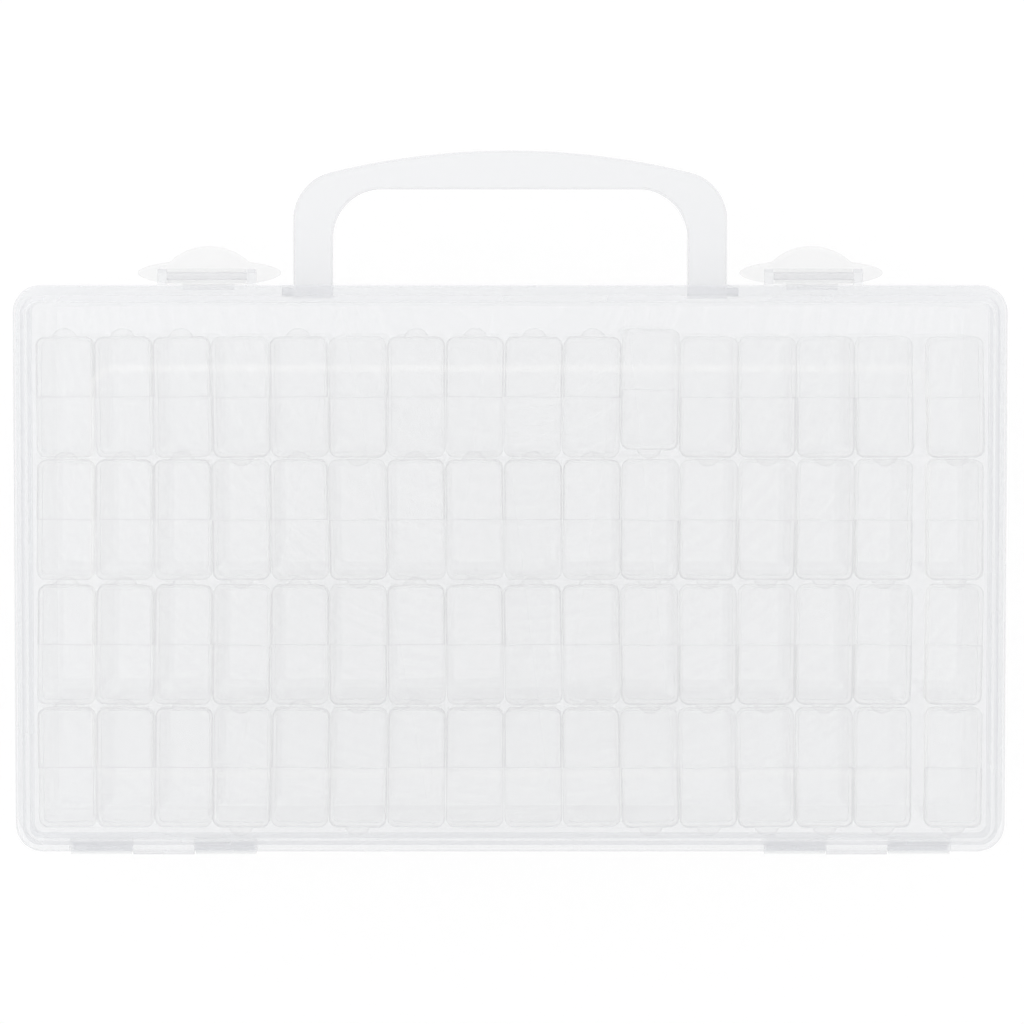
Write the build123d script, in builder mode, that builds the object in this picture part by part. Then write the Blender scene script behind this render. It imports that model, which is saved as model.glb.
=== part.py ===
from build123d import *
from math import cos, radians, sin, tan
import os

# A carrying case of clear plastic with sixty-four flip-top jars for painting beads. It lies on its
# base with the lid shut. X runs along the case, the handle and the latches face -Y, the hinges are
# at +Y, and the origin is the centre of the underside. All sizes are in millimetres and degrees.

# Jars and their caps
COLUMNS = 16
ROWS = 4
JAR_WIDTH = 12.9  # along the case
JAR_DEPTH = 27.0  # front to back
JAR_HEIGHT = 50.0  # standing, with its cap shut
JAR_WALL = 0.8
JAR_FLOOR = 1.0
CAP_PLATE = 2.2  # the cap's rim, which lies on the mouth of the jar
CAP_CHAMFER = 1.4  # on its four upright edges
FLIP_THICKNESS = 0.9  # the half of the cap that flips up
PLUG_DEPTH = 1.6
PLUG_CLEARANCE = 0.1
TAB_CHORD = 5.6  # where it leaves the cap
TAB_REACH = 1.9
TAB_ANGLE = 55  # of its sides to the cap's edge
TAB_LIFT = 0.15  # under a tab, over the cap next to it

# How the jars stand
COLUMN_GAP = 0.15
LOOSE_GAP = 2.8  # beside the first column
SIDE_GAP = 0.2  # at the floor, as the next two
REAR_GAP = 0.6
FRONT_STRIP = 5.9
ROW_GAPS = (0.4, 1.0, 0.6)  # from the front row back
LEAN = 1.0  # the most that a jar is turned about its own upright axis
LEAN_PER_COLUMN = 28.0  # phase
LEAN_PER_ROW = 75.0
TURNED_COLUMNS = (1, 2, 3, 4, 5, 6, 11, 13)  # every tab points back
PUSHED_COLUMN = 6  # its front jar has slid forward
PUSH = 1.7

# Shell
FLOOR = 1.5
HEADROOM = 0.5
LID_TOP = 1.4
LID_HEIGHT = 12.0  # with the raised panel
BASE_WALL = 1.5
BASE_DRAFT = 0.8
LID_WALL = 1.5
LID_DRAFT = 1.5
CAVITY_RADIUS = 1.2
BOTTOM_CHAMFER = 1.3
TOP_CHAMFER = 1.1
PANEL_RISE = 0.6
PANEL_SLOPE = 1.5
PANEL_MARGIN = 15.2
PANEL_RADIUS = 6.0

# Rim
TONGUE = 1.0
TONGUE_HEIGHT = 2.3
RIM_CLEARANCE = 0.3
FLANGE_HEIGHT = 3.0
FLANGE_REACH = 2.2
FLANGE_INSET = 0.3  # how far the base's flange stays inside the lid's
FLANGE_CHAMFER = 0.5

# Hinges, each a rod moulded on the lid that snaps into clips on the base
HINGE_X = 78.3
HINGE_LENGTH = 41.9
HINGE_INSET = 0.8  # of the axis inside the lid's flange, whose edge swings under it
KNUCKLES = 3
KNUCKLE_GAP = 0.25
KNUCKLE_RADIUS = 1.8
NOTCH_CLEARANCE = 0.35
ROD_RADIUS = 0.9
ROD_CLEARANCE = 0.08
ROD_INSET = 0.6
CLIP_SLOT = 1.5  # the way in for a rod or a bar, narrower than it is

# Latches
LATCH_WIDTH = 22.0  # over the lid's ears
EAR = 2.0
EAR_GAP = 0.25
EAR_HALF = 1.6  # half its height, and its reach beyond the bar's axis
EAR_CHAMFER = 0.9
BAR_RADIUS = 0.9
BAR_CLEARANCE = 0.08
BAR_HEIGHT = 1.6  # of the bar over the parting plane
CLIP_WALL = 0.7
LATCH_GAP = 0.3
PLATE = 1.4
HOOK_WIDTH = 11.6
HOOK_BITE = 0.9
HOOK_CLEARANCE = 0.2
HOOK_EDGE = 0.5
HOOK_RAMP = 1.4
LIP_DROP = 2.6  # from the hook's face down to the lip's top
LIP = 1.6
WING_WIDTH = 32.4
WING_DEPTH = 5.9
WING_REACH = 2.4  # from the plate's inner face to the middle of the wings
WING_GAP = 0.25  # from a wing's tip to the handle's lug, seen from above
THUMB_RADIUS = 13.0
THUMB_REACH = 8.45  # from the plate's inner face to the front of the thumb rest
THUMB_BLEND = 1.2
THUMB_RIM = 1.2
THUMB_DISH = 0.6

# Handle
HANDLE_WIDTH = 97.8
HANDLE_REACH = 30.2  # beyond the lid's flange
HANDLE_THICKNESS = 3.0
LEG_WIDTH = 8.9
GRIP_WIDTH = 8.7  # at the middle
CROWN_RADIUS = 169.0
HANDLE_CORNER = 11.0
HANDLE_CHAMFER = 0.5
HANDLE_DROP = 2.4  # of the pivot under the base's flange
WALL_GAP = 0.35  # between the folded handle and the base
STUB_RADIUS = 1.0
STUB_CLEARANCE = 0.08
LUG = 2.4
LUG_HALF = 1.65  # its reach beyond the stub's axis, down and forward
LUG_CHAMFER = 0.9
LUG_GAP = 0.25

# Heights
jar_mouth_z = FLOOR + JAR_HEIGHT - FLIP_THICKNESS - CAP_PLATE
deck_z = jar_mouth_z + CAP_PLATE
shoulder_z = FLOOR + JAR_HEIGHT + HEADROOM + LID_TOP
case_height = shoulder_z + PANEL_RISE
parting_z = case_height - LID_HEIGHT
hook_z = parting_z - FLANGE_HEIGHT - HOOK_CLEARANCE

# Plan of the cavity at its floor and at the parting plane, and of all that lies around the rim
cavity_floor_width = COLUMNS * (JAR_WIDTH + COLUMN_GAP) - COLUMN_GAP + LOOSE_GAP + 2 * SIDE_GAP
cavity_floor_depth = ROWS * JAR_DEPTH + sum(ROW_GAPS) + FRONT_STRIP + REAR_GAP
cavity_growth = (parting_z - FLOOR) * tan(radians(BASE_DRAFT))
cavity_width = cavity_floor_width + 2 * cavity_growth
cavity_depth = cavity_floor_depth + 2 * cavity_growth
lid_bore = TONGUE + RIM_CLEARANCE
lid_side = lid_bore + LID_WALL
flange_side = lid_side + FLANGE_REACH
flange_y = cavity_depth / 2 + flange_side
lid_growth = LID_HEIGHT * tan(radians(LID_DRAFT))
base_wall_y = cavity_depth / 2 + BASE_WALL

# Places of the moving parts
hinge_y = flange_y - HINGE_INSET
knuckle_length = (HINGE_LENGTH - (KNUCKLES - 1) * KNUCKLE_GAP) / KNUCKLES
clip_radius = BAR_RADIUS + BAR_CLEARANCE + CLIP_WALL
latch_out = HANDLE_WIDTH / 2 + LUG_GAP + LUG + WING_GAP + WING_WIDTH / 2
latch_y = -(flange_y + LATCH_GAP + clip_radius)
latch_z = parting_z + BAR_HEIGHT
handle_y = -(base_wall_y + WALL_GAP + HANDLE_THICKNESS / 2)
handle_z = parting_z - FLANGE_HEIGHT - HANDLE_DROP


def block(margin, corner, z, height, draft=0.0):
    """A drafted solid on the cavity's outline grown by margin, from z up by height."""
    with BuildPart() as solid:
        with BuildSketch(Plane.XY.offset(z)):
            Rectangle(cavity_width + 2 * margin, cavity_depth + 2 * margin)
        extrude(amount=height, taper=draft)
        fillet(solid.edges().filter_by(Plane.XY, reverse=True), CAVITY_RADIUS + corner)
    return solid.part


def flange(margin, rear, z, height):
    """A rim around the shell, margin beyond the cavity, with its rear face at Y = rear."""
    front = cavity_depth / 2 + margin
    with BuildSketch(Plane.XY.offset(z)) as outline:
        with Locations((0, (rear - front) / 2)):
            RectangleRounded(cavity_width + 2 * margin, rear + front, CAVITY_RADIUS + margin)
    extrude(outline.sketch, amount=height)


def rod(x, y, z, radius, length, mode=Mode.ADD):
    """A cylinder along X, centred at x, y, z."""
    with Locations(Location((x, y, z), (0, 90, 0))):
        Cylinder(radius, length, mode=mode)


def knuckle_places(first):
    """The middles along X of every other knuckle on both hinges, from the given one."""
    pitch = knuckle_length + KNUCKLE_GAP
    middle = (KNUCKLES - 1) / 2
    return [
        side * HINGE_X + (k - middle) * pitch for side in (-1, 1) for k in range(first, KNUCKLES, 2)
    ]


def knuckles(places, arm_side):
    """Hinge knuckles, each a barrel on the axis with an arm to the wall above or below the axis."""
    for x in places:
        with BuildSketch(Plane.YZ.offset(x - knuckle_length / 2)) as section:
            with Locations((hinge_y, parting_z)):
                Circle(KNUCKLE_RADIUS)
                Rectangle(hinge_y - base_wall_y, KNUCKLE_RADIUS, align=(Align.MAX, arm_side))
        extrude(section.sketch, amount=knuckle_length)


def knuckle_notches(places):
    """Room for the other half's knuckles."""
    for x in places:
        rod(
            x,
            hinge_y,
            parting_z,
            KNUCKLE_RADIUS + NOTCH_CLEARANCE,
            knuckle_length + 2 * KNUCKLE_GAP,
            Mode.SUBTRACT,
        )


base_knuckles = knuckle_places(0)
lid_knuckles = knuckle_places(1)
os.makedirs("parts", exist_ok=True)

# The base, a drafted tray with a tongue around its rim
with BuildPart() as base:
    foot_shrink = parting_z * tan(radians(BASE_DRAFT))
    add(block(BASE_WALL - foot_shrink, BASE_WALL, 0, parting_z, -BASE_DRAFT))
    chamfer(base.faces().sort_by(Axis.Z)[0].edges(), BOTTOM_CHAMFER)
    flange_rear = hinge_y - HINGE_INSET - FLANGE_INSET
    flange(flange_side - FLANGE_INSET, flange_rear, parting_z - FLANGE_HEIGHT, FLANGE_HEIGHT)
    add(block(TONGUE, TONGUE, parting_z, TONGUE_HEIGHT))
    cavity_height = parting_z + TONGUE_HEIGHT - FLOOR
    add(block(-cavity_growth, 0, FLOOR, cavity_height, -BASE_DRAFT), mode=Mode.SUBTRACT)

    knuckle_notches(lid_knuckles)
    knuckles(base_knuckles, Align.MAX)
    for x in base_knuckles:
        rod(x, hinge_y, parting_z, ROD_RADIUS + ROD_CLEARANCE, knuckle_length, Mode.SUBTRACT)
        with Locations((x, hinge_y, parting_z)):
            Box(
                knuckle_length,
                KNUCKLE_RADIUS,
                CLIP_SLOT,
                align=(Align.CENTER, Align.MIN, Align.CENTER),
                mode=Mode.SUBTRACT,
            )

    # A lug outside each leg of the handle, under the flange, with a hole for the leg's stub
    for side in (-1, 1):
        lug_x = side * (HANDLE_WIDTH / 2 + LUG_GAP + LUG / 2)
        with BuildSketch(Plane.YZ.offset(lug_x - LUG / 2)):
            with Locations((handle_y - LUG_HALF, parting_z - FLANGE_HEIGHT)):
                Rectangle(
                    LUG_HALF + BASE_WALL / 2 - base_wall_y - handle_y,
                    HANDLE_DROP + LUG_HALF,
                    align=(Align.MIN, Align.MAX),
                )
            chamfer(vertices().group_by(Axis.Y)[0], LUG_CHAMFER)
        extrude(amount=LUG)
        rod(lug_x, handle_y, handle_z, STUB_RADIUS + STUB_CLEARANCE, LUG, Mode.SUBTRACT)
base.part.label = "base"
export_step(base.part, "parts/base.step")

# The lid, with a raised panel, the other knuckles with their rods, and the latches' ears and bars
with BuildPart() as lid:
    add(block(lid_side, lid_side, parting_z, LID_HEIGHT - PANEL_RISE, LID_DRAFT))
    chamfer(lid.faces().sort_by(Axis.Z)[-1].edges(), TOP_CHAMFER)
    flange(flange_side, flange_y, parting_z, FLANGE_HEIGHT)
    flange_top = lid.faces().filter_by(Axis.Z).filter_by_position(
        Axis.Z, parting_z + FLANGE_HEIGHT - 0.01, parting_z + FLANGE_HEIGHT + 0.01
    )
    chamfer(flange_top[0].outer_wire().edges(), FLANGE_CHAMFER)
    panel_side = lid_side - lid_growth - PANEL_MARGIN
    for foot_z, shape in ((shoulder_z, Mode.ADD), (shoulder_z - LID_TOP, Mode.SUBTRACT)):
        for rise, inset in ((0, 0), (PANEL_RISE, PANEL_SLOPE)):
            with BuildSketch(Plane.XY.offset(foot_z + rise)):
                RectangleRounded(
                    cavity_width + 2 * (panel_side - inset),
                    cavity_depth + 2 * (panel_side - inset),
                    PANEL_RADIUS - inset,
                )
        loft(ruled=True, mode=shape)
    bore_height = shoulder_z - LID_TOP - parting_z
    add(block(lid_bore, lid_bore, parting_z, bore_height, LID_DRAFT), mode=Mode.SUBTRACT)

    knuckle_notches(base_knuckles)
    knuckles(lid_knuckles, Align.MIN)
    for side in (-1, 1):
        rod(side * HINGE_X, hinge_y, parting_z, ROD_RADIUS, HINGE_LENGTH - 2 * ROD_INSET)

    for side in (-1, 1):
        latch_x = side * latch_out
        for end in (-1, 1):
            ear_x = latch_x + end * (LATCH_WIDTH - EAR) / 2
            with BuildSketch(Plane.YZ.offset(ear_x - EAR / 2)):
                with Locations((latch_y - EAR_HALF, latch_z)):
                    Rectangle(
                        EAR_HALF - latch_y - flange_y + FLANGE_REACH / 2,
                        2 * EAR_HALF,
                        align=(Align.MIN, Align.CENTER),
                    )
                chamfer(vertices().group_by(Axis.X)[0], EAR_CHAMFER)
            extrude(amount=EAR)
        rod(latch_x, latch_y, latch_z, BAR_RADIUS, LATCH_WIDTH - EAR)
lid.part.label = "lid"
export_step(lid.part, "parts/lid.step")

# The handle, a flat bow that narrows from its grip into its corners
with BuildPart() as handle:
    crown_y = -(flange_y + HANDLE_REACH)
    half_width = HANDLE_WIDTH / 2
    crown_fall = CROWN_RADIUS - (CROWN_RADIUS**2 - half_width**2) ** 0.5
    with BuildSketch(Plane.XY.offset(handle_z - HANDLE_THICKNESS / 2)):
        with BuildLine():
            shoulder_left = (-half_width, crown_y + crown_fall)
            shoulder_right = (half_width, crown_y + crown_fall)
            ThreePointArc(shoulder_left, (0, crown_y), shoulder_right)
            Polyline(
                shoulder_right, (half_width, handle_y), (-half_width, handle_y), shoulder_left
            )
        make_face()
        fillet(vertices().group_by(Axis.Y)[0], HANDLE_CORNER)
        with BuildLine():
            gap_half = half_width - LEG_WIDTH
            FilletPolyline(
                (gap_half, handle_y),
                (gap_half, crown_y + GRIP_WIDTH),
                (-gap_half, crown_y + GRIP_WIDTH),
                (-gap_half, handle_y),
                radius=HANDLE_CORNER,
            )
            Line((-gap_half, handle_y), (gap_half, handle_y))
        make_face(mode=Mode.SUBTRACT)
    extrude(amount=HANDLE_THICKNESS)
    bow_edges = handle.edges().filter_by(Plane.XY).filter_by(Axis.X, reverse=True)
    grip_edges = handle.edges().filter_by(Plane.XY).filter_by_position(
        Axis.Y, crown_y - 1, crown_y + GRIP_WIDTH + 1
    )
    chamfer(set(bow_edges) | set(grip_edges), HANDLE_CHAMFER)
    for side in (-1, 1):
        rod(side * (half_width - LEG_WIDTH / 2), handle_y, handle_z, HANDLE_THICKNESS / 2, LEG_WIDTH)
        stub_length = LUG_GAP + LUG + LEG_WIDTH / 2
        stub_x = side * (half_width + LUG_GAP + LUG - stub_length / 2)
        rod(stub_x, handle_y, handle_z, STUB_RADIUS, stub_length)
handle.part.label = "handle"
export_step(handle.part, "parts/handle.step")

# The latches, each a plate that clips on the lid's bar, hooks under the base's flange and ends in a
# winged lip with a dished thumb rest
clip_length = LATCH_WIDTH - 2 * (EAR + EAR_GAP)
plate_y = -(flange_y + LATCH_GAP)
lip_z = hook_z - LIP_DROP - LIP
wing_y = plate_y - WING_REACH
thumb_y = plate_y - THUMB_REACH + THUMB_RADIUS
for name, latch_x in (("latch_left", -latch_out), ("latch_right", latch_out)):
    with BuildPart() as latch:
        with BuildSketch(Plane.XY.offset(lip_z)):
            with Locations((latch_x, thumb_y)):
                Circle(THUMB_RADIUS)
            with Locations((latch_x, wing_y)):
                Rectangle(
                    WING_WIDTH,
                    2 * THUMB_RADIUS,
                    align=(Align.CENTER, Align.MAX),
                    mode=Mode.INTERSECT,
                )
                Ellipse(WING_WIDTH / 2, WING_DEPTH / 2)
            blends = [v for v in vertices() if abs(v.X - latch_x) < THUMB_RADIUS]
            fillet(blends, THUMB_BLEND)
        extrude(amount=LIP)
        with BuildSketch(Plane.XY.offset(lip_z + LIP)):
            with Locations((latch_x, thumb_y)):
                Circle(THUMB_RADIUS - THUMB_RIM)
            with Locations((latch_x, plate_y - PLATE - THUMB_RIM)):
                Rectangle(
                    WING_WIDTH,
                    2 * THUMB_RADIUS,
                    align=(Align.CENTER, Align.MAX),
                    mode=Mode.INTERSECT,
                )
        extrude(amount=-THUMB_DISH, mode=Mode.SUBTRACT)

        with BuildSketch(Plane.YZ.offset(latch_x - clip_length / 2)):
            with Locations((latch_y, latch_z)):
                Circle(clip_radius)
            with Locations((plate_y, lip_z + LIP / 2)):
                Rectangle(PLATE, latch_z - lip_z - LIP / 2, align=(Align.MAX, Align.MIN))
        extrude(amount=clip_length)
        rod(latch_x, latch_y, latch_z, BAR_RADIUS + BAR_CLEARANCE, clip_length, Mode.SUBTRACT)
        with Locations((latch_x, latch_y, latch_z)):
            Box(
                clip_length,
                clip_radius,
                CLIP_SLOT,
                align=(Align.CENTER, Align.MIN, Align.CENTER),
                mode=Mode.SUBTRACT,
            )

        hook_y = plate_y + LATCH_GAP + FLANGE_INSET + HOOK_BITE
        with BuildSketch(Plane.YZ.offset(latch_x - HOOK_WIDTH / 2)):
            with BuildLine():
                Polyline(
                    (plate_y - PLATE / 2, hook_z),
                    (hook_y, hook_z),
                    (hook_y, hook_z - HOOK_EDGE),
                    (plate_y, hook_z - HOOK_EDGE - HOOK_RAMP),
                    (plate_y - PLATE / 2, hook_z - HOOK_EDGE - HOOK_RAMP),
                    close=True,
                )
            make_face()
        extrude(amount=HOOK_WIDTH)
    latch.part.label = name
    export_step(latch.part, f"parts/{name}.step")

# One jar and one cap about their own upright axis, with the tab towards -Y
with BuildPart() as jar:
    with BuildSketch(Plane.XY.offset(FLOOR)):
        Rectangle(JAR_WIDTH, JAR_DEPTH)
    extrude(amount=jar_mouth_z - FLOOR)
    with BuildSketch(Plane.XY.offset(FLOOR + JAR_FLOOR)):
        Rectangle(JAR_WIDTH - 2 * JAR_WALL, JAR_DEPTH - 2 * JAR_WALL)
    extrude(amount=jar_mouth_z - FLOOR - JAR_FLOOR, mode=Mode.SUBTRACT)

with BuildPart() as cap:
    with BuildSketch(Plane.XY.offset(jar_mouth_z)):
        Rectangle(JAR_WIDTH, JAR_DEPTH)
        chamfer(vertices(), CAP_CHAMFER)
    extrude(amount=CAP_PLATE)
    with BuildSketch(Plane.XY.offset(jar_mouth_z)):
        plug_inset = JAR_WALL + PLUG_CLEARANCE
        Rectangle(JAR_WIDTH - 2 * plug_inset, JAR_DEPTH - 2 * plug_inset)
    extrude(amount=-PLUG_DEPTH)

    # The flip half, raised over the fixed one by its own thickness
    with BuildSketch(Plane.XY.offset(deck_z)):
        Rectangle(JAR_WIDTH, JAR_DEPTH)
        chamfer(vertices(), CAP_CHAMFER)
        Rectangle(JAR_WIDTH, JAR_DEPTH, align=(Align.CENTER, Align.MAX), mode=Mode.INTERSECT)
    extrude(amount=FLIP_THICKNESS)
    with BuildSketch(Plane.XY.offset(deck_z + TAB_LIFT)):
        with Locations(Location((0, -JAR_DEPTH / 2), 180)):
            Trapezoid(TAB_CHORD, TAB_REACH, TAB_ANGLE, align=(Align.CENTER, Align.MIN))
    extrude(amount=FLIP_THICKNESS - TAB_LIFT)


def column_x(column):
    """The middle of a column, counted from 1 at the -X end, past the loose gap from the second on."""
    first = (JAR_WIDTH - cavity_floor_width) / 2 + SIDE_GAP
    return first + (column - 1) * (JAR_WIDTH + COLUMN_GAP) + (LOOSE_GAP if column > 1 else 0)


def jar_place(column, row):
    """Where a jar stands, counted from the front row, 1, with its lean and the way its tab points."""
    behind = ROWS - row
    rear = cavity_floor_depth / 2 - REAR_GAP
    y = rear - (behind + 0.5) * JAR_DEPTH - sum(ROW_GAPS[row - 1 :])
    turn = LEAN * sin(radians(LEAN_PER_COLUMN * column + LEAN_PER_ROW * row))
    if column in TURNED_COLUMNS:
        turn += 180
    if column == PUSHED_COLUMN and row == 1:
        y -= PUSH
    return Location((column_x(column), y, 0), (0, 0, turn))


# Each column of jars and each column of caps is one node of separate solids
for column in range(1, COLUMNS + 1):
    places = [jar_place(column, row) for row in range(1, ROWS + 1)]
    with BuildPart() as jar_column:
        with Locations(*places):
            add(jar.part)
    jar_column.part.label = f"jars_{column:02d}"
    export_step(jar_column.part, f"parts/jars_{column:02d}.step")

    with BuildPart() as cap_column:
        with Locations(*places):
            add(cap.part)
    cap_column.part.label = f"caps_{column:02d}"
    export_step(cap_column.part, f"parts/caps_{column:02d}.step")
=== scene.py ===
# %% [markdown]
# # A storage case for painting beads
#
# A flat carrying case of milky clear plastic, seen from straight above. Its lid is shut over sixteen
# columns of four small flip-top jars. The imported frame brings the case, lid, handle and latches, and
# this lesson adds the light, the finishes, and the jars with their moulded curves.

# %% Load the frame
import math

import bpy
import numpy as np
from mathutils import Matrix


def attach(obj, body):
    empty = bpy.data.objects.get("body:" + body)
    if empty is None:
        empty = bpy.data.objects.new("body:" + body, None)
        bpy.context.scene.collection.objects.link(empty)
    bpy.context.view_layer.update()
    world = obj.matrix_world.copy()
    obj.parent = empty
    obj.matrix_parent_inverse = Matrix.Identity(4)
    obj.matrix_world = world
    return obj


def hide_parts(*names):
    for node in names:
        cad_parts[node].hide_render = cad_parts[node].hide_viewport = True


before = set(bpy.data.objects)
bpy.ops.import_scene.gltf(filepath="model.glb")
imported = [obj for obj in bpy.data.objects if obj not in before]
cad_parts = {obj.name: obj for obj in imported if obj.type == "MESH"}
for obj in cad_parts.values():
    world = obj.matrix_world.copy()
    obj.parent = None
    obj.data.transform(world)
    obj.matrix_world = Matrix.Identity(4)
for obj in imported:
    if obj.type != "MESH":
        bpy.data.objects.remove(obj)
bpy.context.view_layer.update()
scene = bpy.context.scene
scene.view_settings.view_transform = "Standard"

# %% [markdown]
# ## The camera
#
# The photograph looks almost straight down from about a metre, with the handle at the top. A camera
# without perspective would nearly do, but in the photograph what is nearer looks a little larger. So
# this one has a long lens, and a small tilt, which shows a little of the wall on the handle's side.

# %% Camera
CAMERA_AT = (-0.0004, -0.0683, 1.045)
LOOKS_AT = (-0.0004, -0.0129, 0.045)
LENS_MM = 156.8
SENSOR_MM = 36.0

camera_data = bpy.data.cameras.new("camera")
camera_data.lens = LENS_MM
camera_data.sensor_width = SENSOR_MM
camera = bpy.data.objects.new("camera", camera_data)
scene.collection.objects.link(camera)
scene.camera = camera
look = np.subtract(LOOKS_AT, CAMERA_AT)
camera.location = CAMERA_AT
camera.rotation_euler = (-math.atan2(look[1], -look[2]), 0.0, math.pi)
print("view width at the lid, mm", round(1000 * np.linalg.norm(look) * SENSOR_MM / LENS_MM, 1))

# %% [markdown]
# ## The studio
#
# Clear plastic on white has almost no colour of its own, so it is drawn by soft grey: light that is
# lost in each wall. Small hard lamps would put a bright spot on each of sixty-four caps, so an even
# white sky does most of the lighting, and one large soft lamp gives the edges a light and a dark flank.
# All of this is shader nodes, so two helpers come first: one makes a node, the other joins two.

# %% Helpers for node trees
def link(tree, source, target):
    """Joins two sockets, each given as a node and a socket's name or number."""
    tree.links.new(source[0].outputs[source[1]], target[0].inputs[target[1]])


def add_node(tree, kind, **values):
    """A shader node, with some of its inputs set by name."""
    node = tree.nodes.new(kind)
    for name, value in values.items():
        node.inputs[name.replace("_", " ")].default_value = value
    return node


# %% [markdown]
# The sky and the floor answer the camera with plain white and still light the case like real ones.
# One helper tells the two kinds of ray apart, by the Light Path node, which knows where a ray is from.

# %% Which rays look at the studio itself
def seen_directly(tree):
    """1 for a ray from the camera, a mirror or glass, and 0 for light that falls on the object."""
    path = add_node(tree, "ShaderNodeLightPath")
    first = add_node(tree, "ShaderNodeMath")
    first.operation = "MAXIMUM"
    both = add_node(tree, "ShaderNodeMath")
    both.operation = "MAXIMUM"
    link(tree, (path, "Is Camera Ray"), (first, 0))
    link(tree, (path, "Is Glossy Ray"), (first, 1))
    link(tree, (first, 0), (both, 0))
    link(tree, (path, "Is Transmission Ray"), (both, 1))
    return both


# %% [markdown]
# The sky is two backgrounds. Light that falls on the case comes from the weaker one, so that pale
# plastic doesn't clip, and whatever looks past the case sees the white one.

# %% The sky
SKY_STRENGTH = 0.93

world = bpy.data.worlds.new("sky")
scene.world = world
world.use_nodes = True
sky = world.node_tree
sky.nodes.clear()
white = add_node(sky, "ShaderNodeBackground", Strength=1.0)
light = add_node(sky, "ShaderNodeBackground", Strength=SKY_STRENGTH)
for background in (white, light):
    background.inputs["Color"].default_value = (1.0, 1.0, 1.0, 1.0)
choose = add_node(sky, "ShaderNodeMixShader")
link(sky, (seen_directly(sky), 0), (choose, 0))
link(sky, (light, 0), (choose, 1))
link(sky, (white, 0), (choose, 2))
link(sky, (choose, 0), (add_node(sky, "ShaderNodeOutputWorld"), 0))
print("sky strength on the case", SKY_STRENGTH)

# %% [markdown]
# The lamp is a large square on the handle's side, as a soft box would be. A sun lamp could stand in for
# it, but all its light comes from one direction and would draw hard lines on the edges. The lamp first
# points straight down. To aim it at the middle of the case's underside, it is tilted and then turned.

# %% The lamp
LAMP_WATTS = 5.0
LAMP_SIZE = 0.9
LAMP_AT = (0.35, -0.75, 1.0)

lamp_data = bpy.data.lights.new("lamp", "AREA")
lamp_data.energy = LAMP_WATTS
lamp_data.size = LAMP_SIZE
lamp = bpy.data.objects.new("lamp", lamp_data)
scene.collection.objects.link(lamp)
lamp.location = LAMP_AT
aim = -np.array(LAMP_AT)
lamp.rotation_euler = (
    math.acos(-aim[2] / np.linalg.norm(aim)), 0.0, math.atan2(aim[0], -aim[1])
)
print("lamp", LAMP_WATTS, "W,", round(float(np.linalg.norm(aim)), 2), "m away")

# %% [markdown]
# The floor is matt white paper. A photographer would light it apart from the case until it is plain
# white. Here most of its look to the camera is a glow, and the rest is the paper with the shadow on it.

# %% The floor
FLOOR_SIZE = 4.0
FLOOR_WHITE = 0.84  # how much of the floor's look to the camera is the glow
FLOOR_GLOW = 1.03
PAPER_TINT = 0.95

half = FLOOR_SIZE / 2
floor_mesh = bpy.data.meshes.new("floor")
floor_mesh.from_pydata(
    [(-half, -half, 0), (half, -half, 0), (half, half, 0), (-half, half, 0)], [], [(0, 1, 2, 3)]
)
floor = bpy.data.objects.new("floor", floor_mesh)
scene.collection.objects.link(floor)
paper = bpy.data.materials.new("floor_paper")
paper.use_nodes = True
tree = paper.node_tree
tree.nodes.clear()
matt = add_node(tree, "ShaderNodeBsdfDiffuse")
matt.inputs["Color"].default_value = (PAPER_TINT, PAPER_TINT, PAPER_TINT, 1.0)
glow = add_node(tree, "ShaderNodeEmission", Strength=FLOOR_GLOW)
share = add_node(tree, "ShaderNodeMath")
share.operation = "MULTIPLY"
share.inputs[1].default_value = FLOOR_WHITE
mixed = add_node(tree, "ShaderNodeMixShader")
link(tree, (seen_directly(tree), 0), (share, 0))
link(tree, (share, 0), (mixed, 0))
link(tree, (matt, 0), (mixed, 1))
link(tree, (glow, 0), (mixed, 2))
link(tree, (mixed, 0), (add_node(tree, "ShaderNodeOutputMaterial"), 0))
floor_mesh.materials.append(paper)
print("floor", FLOOR_SIZE, "m wide")

# %% [markdown]
# ## Moulded plastic
#
# All of the case is the same milky plastic. Four things keep it from looking like flat paint: faint
# clouds where the melt flowed, a satin skin whose gloss wanders, a fine pebble from the mould, and
# walls that look denser where the eye goes along them, with a painted shade that makes them greyer. A
# fifth is the lid's alone: a painted highlight, a lighter colour on the gentle slope round its raised
# panel. They are one node group, which every finish uses with its own numbers. Walls and slope are
# found by the surface's own normal on the piece.
#
# Real refraction would need far more light paths for sixty-four jars, so the plastic is a thin coat
# with an alpha, and a ray may pass many such coats on its way down.

# %% The moulded skin, a node group
CLEAR_LAYERS = 96  # the clear surfaces that a ray may pass
MIX_VALUES = 2, 3  # the A and B sockets of a Mix node for numbers
MIX_COLOURS, MIXED_COLOUR = (6, 7), 2  # and for colours, with the socket that puts the colour out
FAINT_CLOUD, FULL_CLOUD = 0.25, 0.75  # the noise values between which a cloud fades in
LEVEL, UPRIGHT = 0.999, 0.3  # how far the normal points up where a face is level, and where a wall
PANEL_RISE, PANEL_SLOPE = 0.6, 1.5  # the border of the lid's panel, up and across, in millimetres
SLOPE_NORMAL, SLOPE_SPREAD = math.cos(math.atan2(PANEL_RISE, PANEL_SLOPE)), 0.02
scene.cycles.transparent_max_bounces = CLEAR_LAYERS


def mixed_by(group, factor, start, end, colours=False):
    """A Mix node between two of a group's outputs, each given as a socket."""
    mix = group.nodes.new("ShaderNodeMix")
    mix.data_type = "RGBA" if colours else "FLOAT"
    link(group, factor, (mix, "Factor"))
    for source, number in zip((start, end), MIX_COLOURS if colours else MIX_VALUES):
        group.links.new(source, mix.inputs[number])
    return mix


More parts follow.
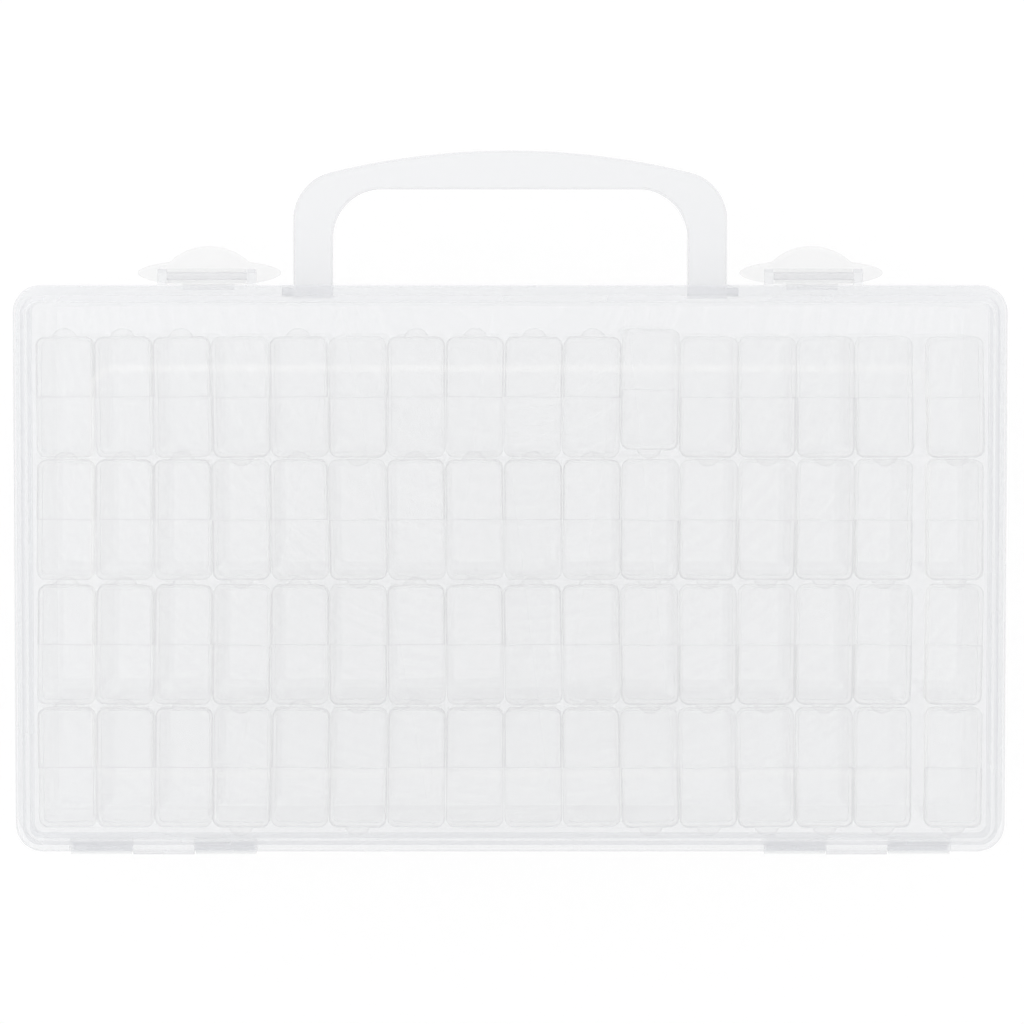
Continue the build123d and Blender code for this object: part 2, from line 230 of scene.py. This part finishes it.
def moulded_skin():
    """Clouds and pebble from two noises, and masks of how steep the surface is.

    The colour and the gloss follow the clouds, and the height is the pebble. Alpha goes from the
    face's to the wall's with the square root of the steepness, and so does the colour, to a painted
    shade of the wall, so that a rounded edge already shows. Where the normal is that of the panel's
    slope, a painted highlight, the slope's lighter colour, can take over.
    """
    group = bpy.data.node_groups.new("moulded_skin", "ShaderNodeTree")
    face = group.interface
    for name, kind, start in (
        ("Tint", "NodeSocketColor", (0.9, 0.9, 0.9, 1.0)),
        ("Cloud Tint", "NodeSocketColor", (0.97, 0.97, 0.97, 1.0)),
        # painted shade: the wall's darker colour, on walls and rounded edges
        ("Wall Shade", "NodeSocketColor", (0.8, 0.8, 0.8, 1.0)),
        ("Cloud Size", "NodeSocketFloat", 40.0),
        ("Gloss Low", "NodeSocketFloat", 0.2),
        ("Gloss High", "NodeSocketFloat", 0.35),
        ("Pebble Size", "NodeSocketFloat", 900.0),
        ("Face Alpha", "NodeSocketFloat", 0.1),
        ("Wall Alpha", "NodeSocketFloat", 0.3),
        # painted highlight: the lighter colour of the lid panel's slope
        ("Slope Highlight", "NodeSocketColor", (0.97, 0.97, 0.97, 1.0)),
        ("Slope Shows", "NodeSocketFloat", 0.0),
    ):
        socket = face.new_socket(name, in_out="INPUT", socket_type=kind)
        socket.default_value = start
    face.new_socket("Color", in_out="OUTPUT", socket_type="NodeSocketColor")
    face.new_socket("Roughness", in_out="OUTPUT", socket_type="NodeSocketFloat")
    face.new_socket("Height", in_out="OUTPUT", socket_type="NodeSocketFloat")
    face.new_socket("Alpha", in_out="OUTPUT", socket_type="NodeSocketFloat")

    inside = add_node(group, "NodeGroupInput")
    outside = add_node(group, "NodeGroupOutput")
    place = add_node(group, "ShaderNodeTexCoord")
    cloud = add_node(group, "ShaderNodeTexNoise", Detail=1.0, Roughness=0.5)
    link(group, (place, "Object"), (cloud, "Vector"))
    link(group, (inside, "Cloud Size"), (cloud, "Scale"))
    soft = add_node(group, "ShaderNodeMapRange")
    soft.inputs["From Min"].default_value = FAINT_CLOUD
    soft.inputs["From Max"].default_value = FULL_CLOUD
    link(group, (cloud, "Fac"), (soft, "Value"))

    given = inside.outputs
    tinted = mixed_by(group, (soft, "Result"), given["Tint"], given["Cloud Tint"], colours=True)
    gloss = mixed_by(group, (soft, "Result"), given["Gloss Low"], given["Gloss High"])
    link(group, (gloss, 0), (outside, "Roughness"))

    pebble = add_node(group, "ShaderNodeTexNoise", Detail=2.0)
    link(group, (place, "Object"), (pebble, "Vector"))
    link(group, (inside, "Pebble Size"), (pebble, "Scale"))
    link(group, (pebble, "Fac"), (outside, "Height"))

    axes = add_node(group, "ShaderNodeSeparateXYZ")
    link(group, (place, "Normal"), (axes, "Vector"))
    level = add_node(group, "ShaderNodeMath")
    level.operation = "ABSOLUTE"
    link(group, (axes, "Z"), (level, 0))
    steep = add_node(group, "ShaderNodeMapRange")
    steep.inputs["From Min"].default_value = LEVEL
    steep.inputs["From Max"].default_value = UPRIGHT
    link(group, (level, 0), (steep, "Value"))
    root = add_node(group, "ShaderNodeMath")
    root.operation = "SQRT"
    link(group, (steep, "Result"), (root, 0))
    density = mixed_by(group, (root, 0), given["Face Alpha"], given["Wall Alpha"])
    link(group, (density, 0), (outside, "Alpha"))
    # Painted shade: on steep faces and rounded edges the colour darkens towards the wall's.
    wall_shaded = mixed_by(
        group, (root, 0), tinted.outputs[MIXED_COLOUR], given["Wall Shade"], colours=True
    )

    gentle = add_node(group, "ShaderNodeMath")
    gentle.operation = "COMPARE"
    gentle.inputs[1].default_value = SLOPE_NORMAL
    gentle.inputs[2].default_value = SLOPE_SPREAD
    link(group, (level, 0), (gentle, 0))
    shows = add_node(group, "ShaderNodeMath")
    shows.operation = "MULTIPLY"
    link(group, (gentle, 0), (shows, 0))
    link(group, (inside, "Slope Shows"), (shows, 1))
    # Painted highlight: on the panel's slope the colour turns to the slope's lighter one.
    slope_highlighted = mixed_by(
        group, (shows, 0), wall_shaded.outputs[MIXED_COLOUR], given["Slope Highlight"], colours=True
    )
    link(group, (slope_highlighted, MIXED_COLOUR), (outside, "Color"))
    return group


SKIN = moulded_skin()
print("moulded skin of", len(SKIN.nodes), "nodes")

# %% [markdown]
# Milky plastic scatters light but loses little of it, so what stands below it is lit almost as well as
# what is above. An alpha alone would shade it too much, so a shadow ray meets only a part of the alpha.
# The shader and the light path stay in each material, and only what changes over the surface comes
# from the group.

# %% A finish of milky plastic
SHADE_PASSED = 0.85  # the part of the alpha that a shadow ray doesn't meet
CLOUD = 1.004  # how much lighter than its tint a plastic is in a cloud
PEBBLE_DEPTH = 0.00008  # metres
PLASTIC_IOR = 1.49


def milky_plastic(
    name, tint, wall, alpha, pebble=0.2, gloss=(0.3, 0.42), cloud_size=90.0, slope=None
):
    """A clear plastic: alpha is what a level face and a wall stop of the light.

    The wall's colour, a painted shade, is the tint times the number given as wall. A gentle slope
    has a painted highlight, a lighter colour of its own, only where slope gives one.
    """
    material = bpy.data.materials.new(name)
    material.use_nodes = True
    nodes = material.node_tree
    shader = nodes.nodes["Principled BSDF"]
    skin = nodes.nodes.new("ShaderNodeGroup")
    skin.node_tree = SKIN
    tint = np.array(tint)
    # The wall's colour is a painted shade, darker than the tint.
    for socket, value in (
        ("Tint", (*tint, 1.0)), ("Cloud Tint", (*(tint * CLOUD), 1.0)),
        ("Wall Shade", (*(tint * wall), 1.0)), ("Cloud Size", cloud_size),
        ("Gloss Low", gloss[0]), ("Gloss High", gloss[1]),
        ("Face Alpha", alpha[0]), ("Wall Alpha", alpha[1]),
    ):
        skin.inputs[socket].default_value = value
    # A painted highlight: the slope's lighter colour.
    if slope:
        skin.inputs["Slope Highlight"].default_value = (*slope, 1.0)
        skin.inputs["Slope Shows"].default_value = 1.0
    bump = add_node(nodes, "ShaderNodeBump", Strength=pebble, Distance=PEBBLE_DEPTH)
    link(nodes, (skin, "Color"), (shader, "Base Color"))
    link(nodes, (skin, "Roughness"), (shader, "Roughness"))
    link(nodes, (skin, "Height"), (bump, "Height"))
    link(nodes, (bump, "Normal"), (shader, "Normal"))

    path = add_node(nodes, "ShaderNodeLightPath")
    kept = add_node(nodes, "ShaderNodeMath")
    kept.operation = "MULTIPLY_ADD"
    link(nodes, (path, "Is Shadow Ray"), (kept, 0))
    kept.inputs[1].default_value = -SHADE_PASSED
    kept.inputs[2].default_value = 1.0
    met = add_node(nodes, "ShaderNodeMath")
    met.operation = "MULTIPLY"
    link(nodes, (skin, "Alpha"), (met, 0))
    link(nodes, (kept, 0), (met, 1))
    link(nodes, (met, 0), (shader, "Alpha"))
    shader.inputs["IOR"].default_value = PLASTIC_IOR
    return material


# %% [markdown]
# ## The finishes
#
# All pieces are the same plastic, but they aren't equally thick, and that tells them apart. The handle
# is dense, and so are the lid's walls, which, with their painted shade, draw the lines of its rim. The
# jars are the clearest, and neither they nor their caps are blue, but a cap's edges carry a darker
# painted shade. One material could read the thickness from the mesh, but numbers for each piece are
# easier to set against a photograph.

# %% Finishes of the case and the jars
SATIN = (0.24, 0.34)  # the gloss of the smoother pieces, at its lowest and highest roughness
# The number after each tint is the painted shade of walls and rounded edges, and the lid's slope colour
# is a painted highlight.
lid_plastic = milky_plastic(
    "lid_plastic", (0.885, 0.895, 0.922), 0.92, (0.22, 0.33), 0.15, SATIN, cloud_size=40.0,
    slope=(0.95, 0.955, 0.968),
)
base_plastic = milky_plastic(
    "base_plastic", (0.905, 0.912, 0.93), 0.94, (0.18, 0.16), 0.15, SATIN, cloud_size=40.0
)
handle_plastic = milky_plastic(
    "handle_plastic", (0.875, 0.88, 0.9), 0.96, (0.4, 0.3), gloss=(0.28, 0.34), cloud_size=60.0
)
latch_plastic = milky_plastic(
    "latch_plastic", (0.895, 0.895, 0.9), 0.95, (0.2, 0.12), gloss=(0.26, 0.34)
)
jar_plastic = milky_plastic("jar_plastic", (0.955, 0.95, 0.94), 0.92, (0.03, 0.05))
cap_plastic = milky_plastic(
    "cap_plastic", (0.955, 0.95, 0.935), 0.87, (0.1, 0.3), cloud_size=110.0
)
NODE_FINISH = {
    "base": base_plastic,
    "lid": lid_plastic,
    "handle": handle_plastic,
    "latch_left": latch_plastic,
    "latch_right": latch_plastic,
}
for node, finish in NODE_FINISH.items():
    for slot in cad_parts[node].material_slots:
        slot.material = finish
print("finishes on", len(NODE_FINISH), "CAD nodes")

# %% [markdown]
# ## Rounded outlines and stacked rings
#
# A moulded jar is one outline carried up and down a profile. The outline is a closed row of points,
# seen from above, anticlockwise. The profile says, ring by ring, how far the outline is drawn in and
# how high it is. Both are whole arrays, and the surface between them is a grid of four-sided faces
# with a flat face at each end. A bevel modifier could round a box too, but it knows no drawn-in mouth.

# %% Outline and stack
def arc(centre, radius, start, end, steps):
    """Points on a circle from one angle to another, in degrees, both ends included."""
    turn = np.radians(np.linspace(start, end, steps + 1))
    return np.array(centre) + radius * np.stack([np.cos(turn), np.sin(turn)], axis=1)


def rounded_rectangle(width, depth, radius, steps):
    """Four quarter circles, joined by straight sides."""
    x, y = width / 2 - radius, depth / 2 - radius
    corners = ((x, -y, -90), (x, y, 0), (-x, y, 90), (-x, -y, 180))
    return np.concatenate([arc((cx, cy), radius, a, a + 90, steps) for cx, cy, a in corners])


def drawn_in(outline, inset):
    """Each point moved inwards, square to the line between its two neighbours."""
    along = np.roll(outline, -1, axis=0) - np.roll(outline, 1, axis=0)
    inward = np.stack([-along[:, 1], along[:, 0]], axis=1)
    return outline + inset * inward / np.linalg.norm(inward, axis=1, keepdims=True)


def rings(outline, profile):
    """The outline once for each (inset, height) of the profile, as rows of points."""
    return np.array([
        np.column_stack([drawn_in(outline, inset), np.full(len(outline), height)])
        for inset, height in profile
    ])


def strips(index):
    """Four-sided faces between each closed ring of corner numbers and the next one."""
    low, high = index[:-1], index[1:]
    sides = np.stack([low, np.roll(low, -1, 1), np.roll(high, -1, 1), high], axis=2)
    return sides.reshape(-1, 4).tolist()


def stacked(outline, profile):
    """The closed solid of an outline under a profile: its points and faces."""
    points = rings(outline, profile)
    index = np.arange(len(profile) * len(outline)).reshape(len(profile), len(outline))
    return points.reshape(-1, 3), strips(index) + [index[0, ::-1].tolist(), index[-1].tolist()]


# %% [markdown]
# ## The jars
#
# Each jar is a thin box with rounded upright corners, a rounded foot and a drawn-in mouth. Its cap
# is pressed on the mouth. A Solidify modifier could give a box its wall, but the inside of a moulded
# jar isn't quite the outside made smaller, so the profile goes up outside, over the mouth and down
# inside to the floor. The numbers repeat those of the frame, in millimetres.

# %% One jar
MM = 0.001
JAR_WIDTH, JAR_DEPTH = 12.9, 27.0
JAR_FOOT, JAR_MOUTH = 1.5, 48.4
JAR_WALL, JAR_FLOOR = 0.8, 1.0
CORNER, CORNER_STEPS = 2.1, 5

jar_outline = rounded_rectangle(JAR_WIDTH, JAR_DEPTH, CORNER, CORNER_STEPS)
jar_profile = [
    (0.9, JAR_FOOT), (0.35, JAR_FOOT + 0.15), (0.0, JAR_FOOT + 0.8), (0.0, JAR_MOUTH - 1.6),
    (0.12, JAR_MOUTH - 1.2), (0.12, JAR_MOUTH - 0.1), (0.22, JAR_MOUTH), (JAR_WALL - 0.1, JAR_MOUTH),
    (JAR_WALL, JAR_MOUTH - 0.1), (JAR_WALL, JAR_FOOT + JAR_FLOOR + 0.6),
    (JAR_WALL + 0.5, JAR_FOOT + JAR_FLOOR),
]
jar_points, jar_faces = stacked(jar_outline, jar_profile)
print("jar", len(jar_faces), "faces")

# %% [markdown]
# ## The caps
#
# A cap could be put together from a rim, a deck and a flip lid, but in clear plastic the hidden faces
# between them would show. So it is one closed skin. Its rim and plug are rings of the whole outline. At
# the deck the outline parts at the hinge line: the front half goes on upwards as the flip lid, whose
# tab reaches out over the edge, and the rear half closes a little lower. Both tops are crowned near
# their edges, because on clear plastic only a change of slope can be seen.

# %% The cap's outlines
TAB_CHORD, TAB_REACH, TAB_STEPS = 5.6, 1.9, 10

tab_radius = (TAB_CHORD**2 / 4 + TAB_REACH**2) / (2 * TAB_REACH)
tab_spread = math.degrees(math.asin(TAB_CHORD / 2 / tab_radius))
half_x, half_y, side_x = JAR_WIDTH / 2 - CORNER, JAR_DEPTH / 2 - CORNER, JAR_WIDTH / 2
tab_centre = (0, tab_radius - TAB_REACH - JAR_DEPTH / 2)
front_half = np.concatenate([
    [[-side_x, 0]],
    arc((-half_x, -half_y), CORNER, 180, 270, CORNER_STEPS),
    arc(tab_centre, tab_radius, 270 - tab_spread, 270 + tab_spread, TAB_STEPS),
    arc((half_x, -half_y), CORNER, 270, 360, CORNER_STEPS),
    [[side_x, 0]],
])
rear_half = np.concatenate([
    [[side_x, 0]],
    arc((half_x, half_y), CORNER, 0, 90, CORNER_STEPS),
    arc((-half_x, half_y), CORNER, 90, 180, CORNER_STEPS),
    [[-side_x, 0]],
])
whole = np.concatenate([front_half, rear_half[1:-1]])
whole[:, 1] = np.maximum(whole[:, 1], -JAR_DEPTH / 2)
print("cap outlines of", len(whole), len(front_half), len(rear_half), "points")

# %% [markdown]
# Three profiles carry the outlines up. The first ring is the foot of the plug, inside the jar's mouth,
# and the last ones are the crowned tops. Both halves grow from the same ring, so no seam is left open.

# %% The cap's profiles and its skin
PLUG_IN, PLUG_DEPTH = 0.9, 1.6
DECK, FLIP_TOP = 50.6, 51.5

rim_profile = [
    (PLUG_IN, JAR_MOUTH - PLUG_DEPTH), (PLUG_IN, JAR_MOUTH + 0.02), (0.1, JAR_MOUTH + 0.02),
    (0.0, JAR_MOUTH + 0.12), (0.0, DECK - 0.5), (0.12, DECK - 0.28), (0.45, DECK - 0.14),
]
flip_profile = [
    (0.1, DECK + 0.12), (0.0, DECK + 0.25), (0.0, FLIP_TOP - 0.5), (0.12, FLIP_TOP - 0.28),
    (0.45, FLIP_TOP - 0.14), (1.0, FLIP_TOP - 0.045), (1.6, FLIP_TOP),
]
deck_profile = [(1.0, DECK - 0.045), (1.6, DECK)]


def cap_skin():
    """Rings of the whole outline, then of its two halves, both grown from the last shared ring."""
    parts = [
        rings(whole, rim_profile), rings(front_half, flip_profile), rings(rear_half, deck_profile),
    ]
    starts = np.cumsum([0] + [part.shape[0] * part.shape[1] for part in parts])
    rim, flip, deck = (
        np.arange(part.shape[0] * part.shape[1]).reshape(part.shape[:2]) + start
        for part, start in zip(parts, starts)
    )
    shared = rim[-1]
    flip = np.vstack([shared[: len(front_half)], flip])
    deck = np.vstack([np.append(shared[len(front_half) - 1 :], shared[0]), deck])
    faces = strips(rim) + strips(flip) + strips(deck)
    faces += [rim[0, ::-1].tolist(), flip[-1].tolist(), deck[-1].tolist()]
    return np.concatenate([part.reshape(-1, 3) for part in parts]), faces


cap_points, cap_faces = cap_skin()
print("cap", len(cap_faces), "faces")

# %% [markdown]
# ## Sixteen columns of four
#
# The jars stand loose, so no two are quite square to each other: each has its own small lean. The
# loose gap beside the first column, the jars whose tabs point back and the one that slid forward are
# where the photograph has them. An Array modifier could repeat a jar, but couldn't turn single ones. A
# column of four is one piece, which takes the place of the frame's.

# %% Places of the jars
COLUMNS, ROWS = 16, 4
FIRST_X, PITCH, LOOSE_GAP = -99.275, 13.05, 2.8
ROW_Y = (-38.85, -11.45, 16.55, 44.15)
LEAN, LEAN_PER_COLUMN, LEAN_PER_ROW = 1.0, 28.0, 75.0
TURNED_COLUMNS = (1, 2, 3, 4, 5, 6, 11, 13)
PUSHED_COLUMN, PUSH = 6, 1.7
SHARP_FROM = math.radians(40)  # flatter edges than this are shaded smooth


def jar_place(column, row):
    """The middle of a jar and how far it is turned, in millimetres and degrees."""
    x = FIRST_X + (column - 1) * PITCH + (LOOSE_GAP if column > 1 else 0.0)
    y = ROW_Y[row - 1] - (PUSH if column == PUSHED_COLUMN and row == 1 else 0.0)
    lean = LEAN * math.sin(math.radians(LEAN_PER_COLUMN * column + LEAN_PER_ROW * row))
    return x, y, lean + (180.0 if column in TURNED_COLUMNS else 0.0)


def column_piece(name, column, points, faces, finish):
    """Four copies of a solid in one mesh, each turned and set down at its jar's place."""
    all_points, all_faces = [], []
    for row in range(1, ROWS + 1):
        x, y, lean = jar_place(column, row)
        turn = math.radians(lean)
        spin = np.array([
            [math.cos(turn), math.sin(turn), 0], [-math.sin(turn), math.cos(turn), 0], [0, 0, 1]
        ])
        all_points.append((points @ spin + (x, y, 0)) * MM)
        start = (row - 1) * len(points)
        all_faces += [[corner + start for corner in face] for face in faces]
    mesh = bpy.data.meshes.new(name)
    mesh.from_pydata(np.concatenate(all_points).tolist(), [], all_faces)
    mesh.materials.append(finish)
    mesh.shade_smooth()
    mesh.set_sharp_from_angle(angle=SHARP_FROM)
    piece = bpy.data.objects.new(name, mesh)
    scene.collection.objects.link(piece)
    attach(piece, "base")
    return piece


for column in range(1, COLUMNS + 1):
    number = f"{column:02d}"
    jars = column_piece(
        f"jar_column_{number}", column, jar_points, jar_faces, jar_plastic
    )
    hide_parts(f"jars_{number}")
    caps = column_piece(
        f"cap_column_{number}", column, cap_points, cap_faces, cap_plastic
    )
    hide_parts(f"caps_{number}")
print("jars set down:", COLUMNS * ROWS)
